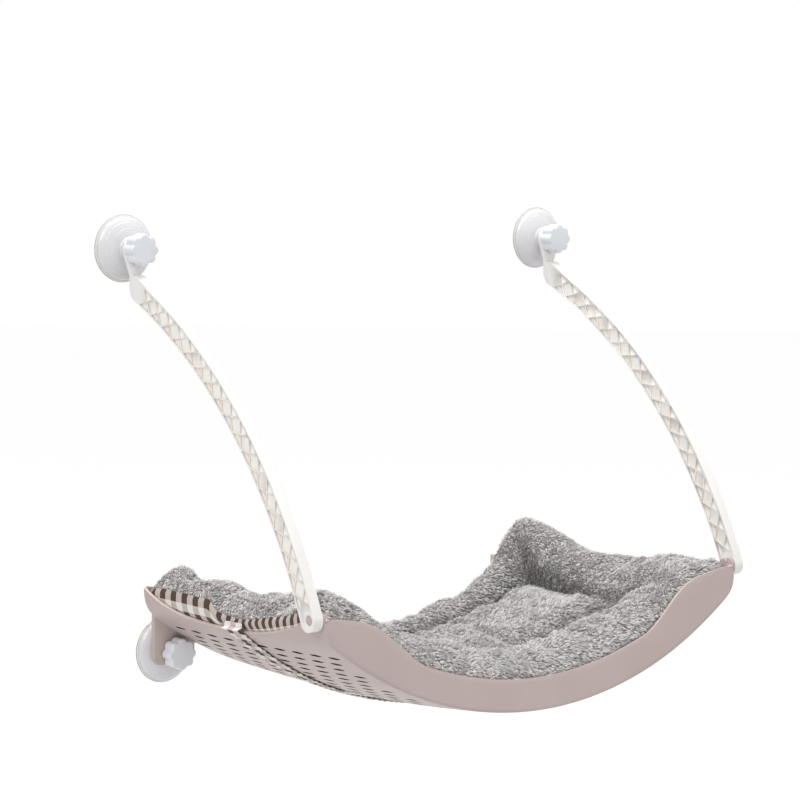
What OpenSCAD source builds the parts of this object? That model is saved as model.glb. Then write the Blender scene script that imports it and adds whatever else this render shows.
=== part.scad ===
// Window mounted cat perch: a moulded hammock tray with a plush cushion, held to a window pane by
// two cups under its back edge and by two curved arms that rise to two more cups.
// Frame: X along the window, Y towards the window (the pane is Y = 0, the room is -Y), Z up.
// The origin is on the pane, midway between the two lower cups.

/* [Tray] */
// Half width over the tray's side walls
tray_half = 277; // [250:1:290]
// Depth of the tray from its front edge to its back wall
tray_depth = 315; // [290:1:330]
// Radius of the hammock curve, outside
hull_r = 435; // [415:1:480]
// Radius where the floor turns up into a side wall, outside
corner_r = 25; // [15:1:30]
// Wall thickness
tray_wall = 3; // [2.5:0.1:4]
// Height of the rim at the corners, above the lowest line of the floor
rim_corner_h = 120; // [116:1:124]
// Height of the front and back rims at their middle
rim_front_h = 33; // [26:1:45]
// Height of the side rims at their middle
rim_side_h = 93; // [86:1:100]
// How far the front face leans back, for each millimetre of height
front_lean_share = 0.2; // [0.05:0.01:0.3]
// How far the back of the tray drops below its front, in degrees
tray_pitch = 2.2; // [0:0.1:3]
// Depth of that line below the axes of the lower cups
front_drop = 34; // [32:1:36]

/* [Floor slots] */
// Length of a slot, front to back
slot_len = 20; // [12:1:24]
// Width of a slot at its middle
slot_w = 4.4; // [2:0.1:6]
// Spacing of the slots front to back
slot_pitch_y = 29; // [26:1:44]
// Step back of each row towards the middle
slot_skew = 11.5; // [0:0.5:16]
// Spacing of the rows round the curve
slot_pitch_arc = 14; // [12:1:24]
// Plain margin left along the front and back edges
slot_margin = 14; // [10:1:30]
// Half of the floor's arc that is slotted, in degrees
slot_arc = 36; // [10:1:36.5]

/* [Cups] */
// Radius of a suction cup's lip
cup_r = 35; // [30:0.5:40]
// Depth from the pane to the top of a cup's cap
cup_depth = 15; // [13:0.1:18]
// Half spacing of the upper cups
upper_cup_x = 283.5; // [283:0.1:290]
// Height of the upper cups above the lower ones
upper_cup_z = 424; // [415:1:435]
// Half spacing of the lower cups
lower_cup_x = 233; // [228:1:236]
// Radius of the studs' thread
stud_r = 4; // [3:0.1:4.5]

/* [Knobs] */
// Radius to the middle of a lobe
knob_lobe_at = 12.3; // [11:0.1:13]
// Radius of a lobe
knob_lobe_r = 4.3; // [3.5:0.1:4.6]
// Number of lobes
knob_lobes = 8; // [6:1:10]
// Thickness of a knob
knob_t = 15; // [14:0.5:18]
// Thickness of the washer under a knob
washer_t = 1; // [0.5:0.1:2]

/* [Arms] */
// Thickness of an arm, side to side
arm_t = 11; // [8:0.5:14]
// Width of an arm's beam
arm_w = 22; // [18:0.5:24]
// Radius of the arm's curve, to the middle of the beam
arm_r = 566.4; // [560:0.1:575]
// Distance of the pivot behind the front end of the floor's lowest line
pivot_setback = 16.5; // [14:0.5:18.5]
// Height of the pivot above the lower cups' axes
pivot_z = 86; // [84:0.5:88]
// Radius of the pivot pin
pin_r = 5; // [4:0.1:5.6]
// Number of lattice cells along an arm
truss_cells = 18; // [14:1:20]
// Depth of the lattice pockets
pocket_d = 1.2; // [0.6:0.1:2.5]

/* [Brackets] */
// Width of a cup bracket
bracket_w = 50; // [46:1:56]
// Thickness of a bracket's plate
bracket_t = 6; // [4:0.5:7]
// Thickness of a bracket's pad, between its plate and the tray's lower back edge
bracket_pad = 8.7; // [7.5:0.1:12]
// How far a bracket reaches below the cup's axis
bracket_drop = 11.5; // [9:0.5:14]

/* [Cushion] */
// Thickness of the cushion's border
border_h = 50; // [40:1:56]
// Thickness along the sewn channel
channel_h = 27; // [20:1:34]
// Thickness at the middle panel's crown
panel_h = 40; // [30:1:46]
// Width of the border along the front
border_front = 85; // [60:1:100]
// Width of the border along the back
border_back = 45; // [30:1:60]
// Width of the border at the two ends
border_side = 78; // [60:1:100]
// Width of the elastic strap
strap_w = 27; // [20:1:32]

/* [Hidden] */
$fn = 96;

// Colours
mauve = [0.72, 0.66, 0.64];
white = [0.93, 0.92, 0.90];
cool_white = [0.86, 0.87, 0.89];
clear = [0.86, 0.84, 0.78];
steel = [0.72, 0.73, 0.74];
brass = [0.78, 0.64, 0.36];
plush = [0.66, 0.66, 0.66];
gingham = [0.55, 0.46, 0.42];

// Clearances
fit = 0.05; // a pin or a thread that turns in its bore, a part pressed in its seat
seat = 0.3; // pieces that lie against each other
side_gap = 1; // arm beside the tray's side wall
overrun = 1; // how far a cut runs past the faces it cuts

// Where the front end of the floor's lowest line lies: distance from the pane
front_reach = cup_depth + seat + bracket_t + bracket_pad + tray_depth;
pivot_reach = front_reach - pivot_setback;

// Tray, in its own frame: Y from the front edge towards the pane, Z up from the floor's lowest line
corner_x = tray_half - corner_r;
corner_z = hull_r - sqrt(pow(hull_r - corner_r, 2) - pow(corner_x, 2));
turn_a = asin(corner_x / (hull_r - corner_r)); // where the floor's curve ends
slot_step = slot_pitch_arc / hull_r * 180 / PI;
corner_steps = 6; // flats round each lower corner
tray_top = rim_corner_h + 2 * corner_r;
rim_end_share = 0.045; // of the depth, at each end of a side rim, level with the corners
rim_steps = 22; // points on each half of a rim's curve
wall_zone = front_lean_share * rim_corner_h + 2 * tray_wall; // depth that the front wall takes
side_zone = corner_x - corner_r; // beyond this the side rims are cut
rim_half = tray_half - corner_r / 2; // where the front rim reaches its full height
side_half = tray_depth * (0.5 - rim_end_share);

// Ears and pins
ear_r = 7.5;
ear_t = 7;
ear_proud = 0.5; // an ear stands out from the side wall towards the arm
pin_head_r = 7;
pin_head_t = 2.5;
pin_flat = 4.2; // from the axis to the flat of the head, which lies along the tray's front wall
arm_in = tray_half + side_gap; // inner face of an arm
pivot = [-pivot_reach, pivot_z];
pin_in = tray_half - ear_t - pin_head_t;
pin_end = arm_in + arm_t - pin_r / 10;

// Arms: side outline in (Y, Z), a curved beam from the pivot up to the head behind the eye
arm_steps = 24; // flats along the curve
end_steps = 12; // flats round its lower end and its head
eye_steps = 60; // flats round its eye
pivot_off = 2.4; // the pivot lies outside the middle of the beam
boss_t = 5; // boss behind the eye, up to the cup
boss_r = 9;
eye_r = 14;
eye_t = 5.5;
eye_back = cup_depth + seat + boss_t;
eye_front = eye_back + eye_t;
head_r = 9.5;
head_drop = 36; // from the cup's axis down to the middle of the head
neck_drop = 27; // from the cup's axis down to where the eye has narrowed to the neck
curve_drop = 46.5; // from the cup's axis down to the beam's middle, a beam's width from the eye
head = [-eye_back - head_r, upper_cup_z - head_drop];
head_tangent = 122;
beam_end = [-eye_back - arm_w, upper_cup_z - curve_drop];
chord = norm(beam_end - pivot);
chord_dir = (beam_end - pivot) / chord;
pivot_arm = arm_r + pivot_off;
foot_along = (pow(chord, 2) + pow(pivot_arm, 2) - pow(arm_r, 2)) / (2 * chord);
foot_off = sqrt(pow(pivot_arm, 2) - pow(foot_along, 2));
arm_c = pivot + foot_along * chord_dir + foot_off * [chord_dir[1], -chord_dir[0]];
outer_r = arm_r + arm_w / 2;
inner_r = arm_r - arm_w / 2;
arm_a0 = acos((-eye_back - arm_c[0]) / inner_r); // where the beam's inner edge meets the eye's back
arm_a1 = 180 - asin((pivot[1] - arm_c[1]) / pivot_arm);
head_a = arm_a0 + asin(1.5 * arm_w / arm_r); // where the head runs out on the outer edge

// Lattice: crossed ribs between two chords, a pocket in each space between them
chord_margin = 2.2;
rib_half = 0.8;
truss_half = arm_w / 2 - chord_margin + rib_half;
truss_a0 = arm_a0 + 2 * asin(head_r / arm_r);
truss_a1 = arm_a1 - asin(1.8 * pin_r / arm_r);
cell_a = (truss_a1 - truss_a0) / truss_cells;
cell_half = arm_r * sin(cell_a / 2);
slant = norm([cell_half, truss_half]);
tri_in = cell_half * truss_half / (cell_half + slant); // radius of the circle inside a triangle
diamond_in = cell_half * truss_half / slant;
tri_share = (tri_in - rib_half) / tri_in;
diamond_share = (diamond_in - rib_half) / diamond_in;

// Cups and caps: profiles as radius and height above the pane
lip_share = 6 / 7; // inner edge of the lip's flat ring
vault_share = 24 / 35; // where the vault under the membrane flattens
lip_t = 1;
vault_t = 2.4; // height of the vault under the membrane
membrane_t = 9; // height of the membrane at its middle
flange_r = 8;
flange_lo = 4;
flange_hi = 6.5;
collar_r = 11;
cap_edge_share = 0.93; // of the lip's radius
cap_edge_t = 1.9;

// Studs: round flange, square neck that stops the cup from turning, round thread
neck_half = stud_r;
neck_room = 0.1; // clearance of the square neck in its holes, each side
neck_hole_r = neck_half * sqrt(2) + neck_room;
neck_short = 0.5; // the neck ends below the plate's face, so the washer seats on the plate
stud_reach = 12; // thread past the plate

// Washers, knobs and inserts
washer_r = 9;
insert_r = stud_r + 2;
insert_len = 10;
knob_gap = washer_t + 2 * fit;
knob_core_r = knob_lobe_at + knob_lobe_r * 0.4;
knob_step = 1.2; // depth and height of the step round a knob's front edge

// Brackets
lower_back = cup_depth + seat;
lower_front = lower_back + bracket_t;
bracket_top = 62; // height of a bracket's top above the cups' axes
bracket_corner = 8;
pad_depth = 12; // the pad in front of the plate reaches the tray within this
hull_shy = 1; // the pad stays inside the tray's outline
screw_r = 2;
screw_head_r = 3.6;
screw_head_t = 1.8;
screw_len = 9;
screw_side = 11.5; // each side of the cup's axis
screw_up = 17; // above the tray's underside

// Cushion: stations are rays from the hammock's axis, rows run front to back
pad_cols = 34;
pad_rows = 16;
pad_clear = 1; // between the cushion and the tray
pad_back_clear = 4; // room for the screws' heads
pad_a = 41; // ray of the cushion's ends
pad_corner = 45; // rounding of its corners in plan
pad_corner_a = 6;
pad_edge_a = 4.4; // the ends round off within this
pad_edge = 30; // the front and back edges round off within this
// Where the stuffing has gathered or thinned: x and y, the spread both ways, and the height
pad_lump_shares = [
    [0.77, 0.90, 0.16, 0.14, 0.36],
    [0.95, 0.62, 0.20, 0.19, -0.34],
    [-0.88, 0.46, 0.20, 0.14, -0.18],
    [0, 0.57, 0.36, 0.24, -0.08]];
thin_share = 0.2; // of the thickness, left at the very edge
squareness = 2.6;
pad_r = hull_r - tray_wall - pad_clear;
pad_c = corner_r - tray_wall - pad_clear;
pad_wall = corner_x + pad_c;

// Strap
strap_t = 1.5;
strap_gap = 0.4;

// Helpers: a 2D shape in (Y, Z) thickened along X, and one in (X, Z) thickened along Y
module along_x(x0, t) translate([x0, 0, 0]) rotate([90, 0, 90]) linear_extrude(t) children();
module along_y(y0, t) translate([0, y0 + t, 0]) rotate([90, 0, 0]) linear_extrude(t) children();
// A shape on an axis square to the pane, its own Z counted from the pane into the room
module on_pane(x, z) translate([x, 0, z]) rotate([90, 0, 0]) children();
module in_tray() translate([0, -front_reach, -front_drop]) rotate([-tray_pitch, 0, 0]) children();
module both_ends() {
    children();
    mirror([1, 0, 0]) children();
}

function smooth(a, b, x) = let (t = min(1, max(0, (x - a) / (b - a)))) t * t * (3 - 2 * t);
function on_arc(r, a) = arm_c + r * [cos(a), sin(a)];
function hull_z(x) = hull_r - sqrt(pow(hull_r, 2) - pow(x, 2));

// Rim of the front and back walls: a shallow bowl that sweeps up to the corners in an S
function bowl(w) = w * w;
function crest(w) = 1 - pow(1 - w, 1.3);
function front_rim_share(w) = let (g = smooth(0.55, 0.86, w)) bowl(w) * (1 - g) + crest(w) * g;
function front_rim(x) =
    rim_front_h + (rim_corner_h - rim_front_h) * front_rim_share(min(1, abs(x) / rim_half));
function side_rim(y) =
    let (off = y - tray_depth / 2, back_share = pow(min(1, 2 * off / tray_depth), 3))
    rim_side_h + (rim_corner_h - rim_side_h) * (off > 0 ? back_share : pow(min(1, -off / side_half), 1.9));

// The tray's outline across the window, drawn in by an amount: each row of slots lies on its own flat
function hull_side(inset) = concat(
    [for (a = [slot_step / 2 : slot_step : turn_a - slot_step / 4])
        (hull_r - inset) * [sin(a), -cos(a)] + [0, hull_r]],
    [for (i = [0 : corner_steps])
        let (a = turn_a + (90 - turn_a) * i / corner_steps)
        [corner_x, corner_z] + (corner_r - inset) * [sin(a), -cos(a)]]);
module hull_outline(inset) {
    right = concat(hull_side(inset), [[tray_half - inset, tray_top]]);
    left = [for (i = [len(right) - 1 : -1 : 0]) [-right[i][0], right[i][1]]];
    polygon(concat(right, left));
}

// Everything behind the leaning front face, which is a cone about the hammock's own axis
module behind_front(inset) {
    over = 2 * corner_r;
    translate([0, 0, hull_r]) rotate([-90, 0, 0]) rotate_extrude($fn = 360) polygon([
        [0, inset + front_lean_share * hull_r],
        [hull_r + over, inset - front_lean_share * over],
        [hull_r + over, tray_depth + over],
        [0, tray_depth + over]]);
}

// Everything above the rims
module above_rims() {
    over = tray_top + overrun;
    xs = [for (i = [-rim_steps : rim_steps]) rim_half * i / rim_steps];
    front_edge = [for (x = xs) [x, front_rim(x)]];
    for (span = [[-overrun, wall_zone], [tray_depth - 2 * tray_wall, 2 * tray_wall + overrun]])
        along_y(span[0], span[1]) polygon(concat(front_edge, [[rim_half, over], [-rim_half, over]]));
    ys = [for (i = [-rim_steps : rim_steps]) tray_depth / 2 + side_half * i / rim_steps];
    side_edge = [for (y = ys) [y, side_rim(y)]];
    both_ends() along_x(side_zone, tray_half - side_zone + overrun)
        polygon(concat(side_edge, [[ys[2 * rim_steps], over], [ys[0], over]]));
    translate([-tray_half - overrun, -overrun, rim_corner_h])
        cube([2 * (tray_half + overrun), tray_depth + 2 * overrun, tray_top]);
}

// Slots in the floor: long front to back and pointed at their ends, each row set back from the next
module slots() {
    rows = floor(slot_arc / slot_step);
    room = tray_depth - 2 * slot_margin - slot_len;
    for (i = [-rows : rows]) {
        lead = (slot_skew * (rows - abs(i))) % slot_pitch_y;
        start = slot_margin + slot_len / 2 + lead;
        n = floor((room - lead) / slot_pitch_y);
        translate([0, 0, hull_r]) rotate([0, -i * slot_step, 0]) for (j = [0 : n])
            translate([0, start + j * slot_pitch_y, -hull_r - tray_wall])
                linear_extrude(3 * tray_wall) polygon([
                    [-slot_w / 2, 0], [0, -slot_len / 2], [slot_w / 2, 0], [0, slot_len / 2]]);
    }
}

// Screws that hold the brackets, driven from inside the tray through its back wall
module at_screws() {
    both_ends() for (s = [-1, 1]) {
        x = lower_cup_x + s * screw_side;
        in_tray() translate([x, tray_depth - tray_wall, hull_z(x) + screw_up]) rotate([-90, 0, 0])
            children();
    }
}

module tray_shell() color(mauve) difference() {
    union() {
        in_tray() difference() {
            intersection() {
                along_y(-overrun, tray_depth + overrun) hull_outline(0);
                behind_front(0);
            }
            intersection() {
                along_y(0, tray_depth - tray_wall) hull_outline(tray_wall);
                behind_front(tray_wall);
            }
            above_rims();
            slots();
        }
        both_ends() along_x(tray_half - ear_t, ear_t + ear_proud) translate(pivot) circle(ear_r);
    }
    along_x(-tray_half - overrun, 2 * (tray_half + overrun)) translate(pivot) circle(pin_r + fit);
    at_screws() translate([0, 0, -overrun]) cylinder(r = screw_r + fit, h = tray_wall + 2 * overrun);
}

// Bracket behind the tray: a plate in front of the cup, and a pad that meets the leaning back wall
module bracket_outline(low, corner) {
    x = lower_cup_x - bracket_w / 2;
    translate([x, corner - low]) square([bracket_w, bracket_top + low - corner]);
    translate([x + corner, -low]) square([bracket_w - 2 * corner, corner]);
    for (s = [corner, bracket_w - corner]) translate([x + s, corner - low]) circle(corner);
}

module cup_bracket() difference() {
    union() {
        along_y(-lower_front, bracket_t) bracket_outline(bracket_drop, bracket_corner);
        intersection() {
            along_y(-lower_front - pad_depth, pad_depth + bracket_t / 2)
                bracket_outline(bracket_drop, bracket_corner);
            in_tray() along_y(tray_depth + fit, pad_depth + tray_depth) hull_outline(hull_shy);
        }
    }
    along_y(-lower_front - overrun, bracket_t + 2 * overrun)
        translate([lower_cup_x, 0]) square(2 * (neck_half + neck_room), center = true);
    at_screws() cylinder(r = screw_r + fit, h = screw_len + fit);
}

module bracket_screws() color(steel) at_screws() {
    cylinder(r = screw_r, h = screw_len);
    translate([0, 0, -screw_head_t]) cylinder(r = screw_head_r, h = screw_head_t - fit);
    translate([0, 0, -screw_head_t / 2]) cylinder(r = screw_r, h = screw_head_t);
}

// Pivot pin: head inside the ear, flat on one side so that it can't turn, shank through ear and arm
module pivot_pin() {
    along_x(pin_in - fit, pin_head_t) intersection() {
        translate(pivot) circle(pin_head_r);
        translate(pivot - [pin_flat, pin_head_r]) square(2 * pin_head_r);
    }
    along_x(pin_in, pin_end - pin_in) translate(pivot) circle(pin_r);
}

// Side outline of an arm: round the foot, up the outer edge, round the head, down the inner edge
function arc_points(c, r, a, b, n) =
    [for (i = [0 : n]) let (t = a + (b - a) * i / n) c + r * [cos(t), sin(t)]];
module arm_outline() {
    foot_step = 180 / end_steps;
    foot_a = arm_a1 + foot_step;
    polygon(concat(
        arc_points(on_arc(arm_r, arm_a1), arm_w / 2, arm_a1 + 180 - foot_step, foot_a, end_steps - 2),
        arc_points(arm_c, outer_r, arm_a1, head_a, arm_steps),
        arc_points(head, head_r, head_tangent, 0, end_steps),
        arc_points(arm_c, inner_r, arm_a0, arm_a1, arm_steps)));
}

// One pocket, its corners drawn in towards a point by a share
module pocket(middle, points, share) polygon([for (p = points) middle + share * (p - middle)]);

module lattice() {
    for (k = [0 : truss_cells - 1]) {
        a = truss_a0 + k * cell_a;
        for (side = [-1, 1]) {
            base_r = arm_r + side * truss_half;
            pocket(on_arc(base_r - side * tri_in, a + cell_a / 2), [
                on_arc(base_r, a),
                on_arc(arm_r, a + cell_a / 2),
                on_arc(base_r, a + cell_a)], tri_share);
        }
        if (k > 0) pocket(on_arc(arm_r, a), [
            on_arc(arm_r - truss_half, a),
            on_arc(arm_r, a + cell_a / 2),
            on_arc(arm_r + truss_half, a),
            on_arc(arm_r, a - cell_a / 2)], diamond_share);
    }
}

// Front outline of the eye: a round eye on a neck as wide as the arm is thick
module eye_outline() {
    lean = acos((eye_r - arm_t / 2) / neck_drop);
    polygon(concat(
        arc_points([upper_cup_x, upper_cup_z], eye_r, lean - 90, 270 - lean, eye_steps),
        [for (p = [[-1, -neck_drop], [-1, -curve_drop], [1, -curve_drop], [1, -neck_drop]])
            [upper_cup_x + p[0] * arm_t / 2, upper_cup_z + p[1]]]));
}

module arm() difference() {
    union() {
        along_x(arm_in, arm_t) arm_outline();
        along_y(-eye_front, eye_t) eye_outline();
        on_pane(upper_cup_x, upper_cup_z) translate([0, 0, cup_depth + seat])
            cylinder(r = boss_r, h = boss_t + eye_t / 2);
    }
    for (x = [arm_in - overrun, arm_in + arm_t - pocket_d])
        along_x(x, pocket_d + overrun) lattice();
    along_x(arm_in - overrun, arm_t + 2 * overrun) translate(pivot) circle(pin_r + fit);
    along_y(-eye_front - overrun, eye_front + overrun)
        translate([upper_cup_x, upper_cup_z]) square(2 * (neck_half + neck_room), center = true);
}

// Soft cup, with the stud's flange held in its middle
module cup() rotate_extrude() polygon([
    [0, vault_t],
    [cup_r * vault_share, vault_t * 2 / 3],
    [cup_r * lip_share, 0],
    [cup_r, 0],
    [cup_r, lip_t],
    [cup_r * 32 / 35, lip_t * 2.2],
    [cup_r * 22 / 35, membrane_t * 2 / 3],
    [cup_r * 10 / 35, membrane_t],
    [neck_hole_r, membrane_t],
    [neck_hole_r, flange_hi],
    [flange_r, flange_hi],
    [flange_r, flange_lo],
    [0, flange_lo]]);

// Domed cap over the cup, pressed on it by the plate
module cap() difference() {
    rotate_extrude() polygon([
        [0, membrane_t + seat],
        [cup_r * 10 / 35, membrane_t + seat],
        [cup_r * 22 / 35, membrane_t * 2 / 3 + seat],
        [cup_r * 32 / 35, lip_t * 2.2 + seat],
        [cup_r * cap_edge_share, lip_t * 2 + seat],
        [cup_r * cap_edge_share, lip_t * 2 + seat + cap_edge_t],
        [cup_r * 31 / 35, cup_depth * 0.4],
        [cup_r * 22 / 35, cup_depth * 0.7],
        [cup_r * 14 / 35, cup_depth * 0.87],
        [collar_r + lip_t, cup_depth * 0.93],
        [collar_r, cup_depth],
        [0, cup_depth]]);
    translate([0, 0, cup_depth / 2])
        cube([2 * (neck_half + neck_room), 2 * (neck_half + neck_room), 2 * cup_depth], center = true);
}

// Stud for a plate whose front face is at a given distance from the pane
module stud(front) {
    neck_end = front - neck_short;
    translate([0, 0, flange_lo + fit]) cylinder(r = flange_r - fit, h = flange_hi - flange_lo - 2 * fit);
    translate([-neck_half, -neck_half, flange_lo + 2 * fit])
        cube([2 * neck_half, 2 * neck_half, neck_end - flange_lo - 2 * fit]);
    translate([0, 0, neck_end - overrun]) cylinder(r = stud_r, h = neck_short + overrun + stud_reach);
}

module washer(front) translate([0, 0, front + fit]) difference() {
    cylinder(r = washer_r, h = washer_t);
    translate([0, 0, -overrun]) cylinder(r = stud_r + seat, h = washer_t + 2 * overrun);
}

module knob_outline(inset) {
    circle(knob_core_r - inset);
    for (i = [0 : knob_lobes - 1]) rotate(i * 360 / knob_lobes)
        translate([knob_lobe_at, 0]) circle(knob_lobe_r - inset);
}

module knob(front) translate([0, 0, front + knob_gap]) difference() {
    union() {
        linear_extrude(knob_t - knob_step) knob_outline(0);
        linear_extrude(knob_t) knob_outline(knob_step);
    }
    translate([0, 0, -overrun]) cylinder(r = insert_r + fit, h = insert_len + overrun);
    cylinder(r = stud_r + seat, h = stud_reach);
}

module insert(front) translate([0, 0, front + knob_gap]) difference() {
    cylinder(r = insert_r, h = insert_len - fit);
    translate([0, 0, -overrun]) cylinder(r = stud_r + fit, h = insert_len + 2 * overrun);
}

// Cushion: how far the tray's inside lies from the hammock's axis along a ray
function pad_floor(a) =
    let (c = hull_r - corner_r, off = c * sin(a - turn_a))
    a < turn_a ? pad_r :
    pad_wall / tan(a) > hull_r - corner_z ? c * cos(a - turn_a) + sqrt(max(0, pow(pad_c, 2) - off * off)) :
    pad_wall / sin(a);
// Rounded edge: 0 at the rim of the cushion, 1 from its rounding inwards
function edge_share(e) =
    let (t = min(1, max(0, e))) pow(1 - pow(1 - t, squareness), 1 / squareness);
// Thickness by distance from the edge, in border widths: bolster, sewn channel, panel
function pad_thickness(q) = q < 1
    ? channel_h + (border_h - channel_h) * (1 - pow(max(0, (q - 0.45) / 0.55), 2))
    : channel_h + (panel_h - channel_h) * (1 - pow(1 - min(1, (q - 1) / 0.8), 2));
function spread(t) = 0.6 * t + 0.4 * (1 - cos(180 * t)) / 2;
function total(v, i = 0) = i < len(v) ? v[i] + total(v, i + 1) : 0;
function pad_lump(x, y) = border_h * total([for (s = pad_lump_shares)
    s[4] * exp(-(pow((x / tray_half - s[0]) / s[2], 2) + pow((y / tray_depth - s[1]) / s[3], 2)) / 2)]);
pad_inner_y = tray_depth - tray_wall - pad_back_clear;

function pad_point(i, j, upper) = let (
    t = 2 * spread(i / (pad_cols - 1)) - 1,
    v = spread(j / (pad_rows - 1)),
    front = v * pad_inner_y,
    back = pad_inner_y - front,
    cut = 1 - min(1, min(front, back) / pad_corner),
    a_end = pad_a - pad_corner_a * (1 - sqrt(1 - cut * cut)),
    a = abs(t) * a_end,
    end = (a_end - a) * PI / 180 * pad_r,
    q = -ln(exp(-6 * end / border_side) + exp(-6 * front / border_front) + exp(-6 * back / border_back)) / 6,
    full = edge_share((a_end - a) / pad_edge_a) * edge_share(min(front, back) / pad_edge),
    share = thin_share + (1 - thin_share) * full,
    middle = pad_r - border_h / 2,
    level = upper ? pad_r - pad_thickness(q) - pad_lump(sign(t) * pad_r * sin(a), front) : pad_floor(a),
    r = middle + (level - middle) * share,
    y0 = pad_clear + tray_wall + front_lean_share * (hull_r - r))
    [sign(t) * r * sin(a), y0 + v * (pad_inner_y - y0), hull_r - r * cos(a)];

module cushion() {
    n = pad_cols * pad_rows;
    last_i = pad_cols - 1;
    last_j = pad_rows - 1;
    points = [for (upper = [true, false]) for (i = [0 : last_i]) for (j = [0 : last_j])
        pad_point(i, j, upper)];
    function at(i, j) = i * pad_rows + j;
    skin = [for (i = [0 : last_i - 1]) for (j = [0 : last_j - 1])
        let (a = at(i, j), b = at(i, j + 1), c = at(i + 1, j + 1), d = at(i + 1, j))
        each [[a, b, c], [a, c, d], [n + c, n + b, n + a], [n + d, n + c, n + a]]];
    rim = concat(
        [for (i = [0 : last_i - 1]) at(i, 0)],
        [for (j = [0 : last_j - 1]) at(last_i, j)],
        [for (i = [last_i : -1 : 1]) at(i, last_j)],
        [for (j = [last_j : -1 : 1]) at(0, j)]);
    side = [for (k = [0 : len(rim) - 1])
        let (a = rim[k], b = rim[(k + 1) % len(rim)])
        each [[a, b, n + b], [a, n + b, n + a]]];
    color(plush) in_tray() polyhedron(points, concat(skin, side));
}

// Elastic strap: round the outside of the tray at mid-depth, hooked over the side rims
module elastic_strap() color(gingham) {
    y = (tray_depth - strap_w) / 2;
    rim_z = side_rim(y) + strap_gap;
    tip_x = sqrt(pow(pad_r, 2) - pow(hull_r - rim_z - strap_t, 2)) + seat;
    reach = tray_half + corner_r;
    in_tray() along_y(y, strap_w) {
        intersection() {
            difference() {
                hull_outline(-strap_gap - strap_t);
                hull_outline(-strap_gap);
            }
            translate([-reach, -reach]) square([2 * reach, reach + rim_z + strap_t]);
        }
        for (s = [0, 1]) mirror([s, 0]) intersection() {
            translate([tip_x, rim_z]) square([reach - tip_x, strap_t]);
            hull_outline(-strap_gap - strap_t);
        }
    }
}

// The four stations on the pane
module upper_left() mirror([1, 0, 0]) on_pane(upper_cup_x, upper_cup_z) children();
module upper_right() on_pane(upper_cup_x, upper_cup_z) children();
module lower_left() mirror([1, 0, 0]) on_pane(lower_cup_x, 0) children();
module lower_right() on_pane(lower_cup_x, 0) children();

tray_shell();
color(mauve) mirror([1, 0, 0]) cup_bracket();  // left_cup_bracket
color(mauve) cup_bracket();  // right_cup_bracket
bracket_screws();
color(mauve) mirror([1, 0, 0]) pivot_pin();  // left_pivot_pin
color(mauve) pivot_pin();  // right_pivot_pin
color(white) mirror([1, 0, 0]) arm();  // left_arm
color(white) arm();  // right_arm
color(clear) upper_left() cup();  // left_upper_cup
color(clear) upper_right() cup();  // right_upper_cup
color(clear) lower_left() cup();  // left_lower_cup
color(clear) lower_right() cup();  // right_lower_cup
color(white) upper_left() cap();  // left_upper_cap
color(white) upper_right() cap();  // right_upper_cap
color(white) lower_left() cap();  // left_lower_cap
color(white) lower_right() cap();  // right_lower_cap
color(steel) upper_left() stud(eye_front);  // left_upper_stud
color(steel) upper_right() stud(eye_front);  // right_upper_stud
color(steel) lower_left() stud(lower_front);  // left_lower_stud
color(steel) lower_right() stud(lower_front);  // right_lower_stud
color(steel) upper_left() washer(eye_front);  // left_upper_washer
color(steel) upper_right() washer(eye_front);  // right_upper_washer
color(steel) lower_left() washer(lower_front);  // left_lower_washer
color(steel) lower_right() washer(lower_front);  // right_lower_washer
color(cool_white) upper_left() knob(eye_front);  // left_upper_knob
color(cool_white) upper_right() knob(eye_front);  // right_upper_knob
color(cool_white) lower_left() knob(lower_front);  // left_lower_knob
color(cool_white) lower_right() knob(lower_front);  // right_lower_knob
color(brass) upper_left() insert(eye_front);  // left_upper_insert
color(brass) upper_right() insert(eye_front);  // right_upper_insert
color(brass) lower_left() insert(lower_front);  // left_lower_insert
color(brass) lower_right() insert(lower_front);  // right_lower_insert
cushion();
elastic_strap();
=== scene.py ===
# Window mounted cat perch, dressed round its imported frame.
# Metres: X runs along the window, Y towards the pane (Y = 0), Z up.
import math

import bmesh
import bpy
import numpy as np
from mathutils import Matrix, Vector, kdtree, noise


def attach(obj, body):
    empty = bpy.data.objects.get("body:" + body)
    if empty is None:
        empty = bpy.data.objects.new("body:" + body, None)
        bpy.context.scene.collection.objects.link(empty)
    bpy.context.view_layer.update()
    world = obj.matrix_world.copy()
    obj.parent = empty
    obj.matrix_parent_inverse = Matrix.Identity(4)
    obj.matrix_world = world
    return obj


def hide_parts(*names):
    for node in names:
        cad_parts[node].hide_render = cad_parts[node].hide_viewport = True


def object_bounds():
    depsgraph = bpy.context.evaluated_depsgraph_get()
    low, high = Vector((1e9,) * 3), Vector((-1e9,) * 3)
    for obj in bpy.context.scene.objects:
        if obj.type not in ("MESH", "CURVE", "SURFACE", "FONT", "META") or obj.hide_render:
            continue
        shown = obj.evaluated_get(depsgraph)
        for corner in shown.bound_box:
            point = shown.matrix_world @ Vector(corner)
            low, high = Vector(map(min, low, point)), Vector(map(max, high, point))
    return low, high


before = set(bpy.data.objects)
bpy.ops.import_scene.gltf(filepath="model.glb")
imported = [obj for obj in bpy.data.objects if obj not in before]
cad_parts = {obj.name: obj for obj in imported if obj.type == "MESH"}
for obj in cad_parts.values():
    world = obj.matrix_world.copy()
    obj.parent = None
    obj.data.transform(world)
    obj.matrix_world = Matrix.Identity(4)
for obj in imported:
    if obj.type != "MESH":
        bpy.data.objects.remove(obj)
cad_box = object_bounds()
scene = bpy.context.scene
scene.view_settings.view_transform = "Standard"


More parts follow.
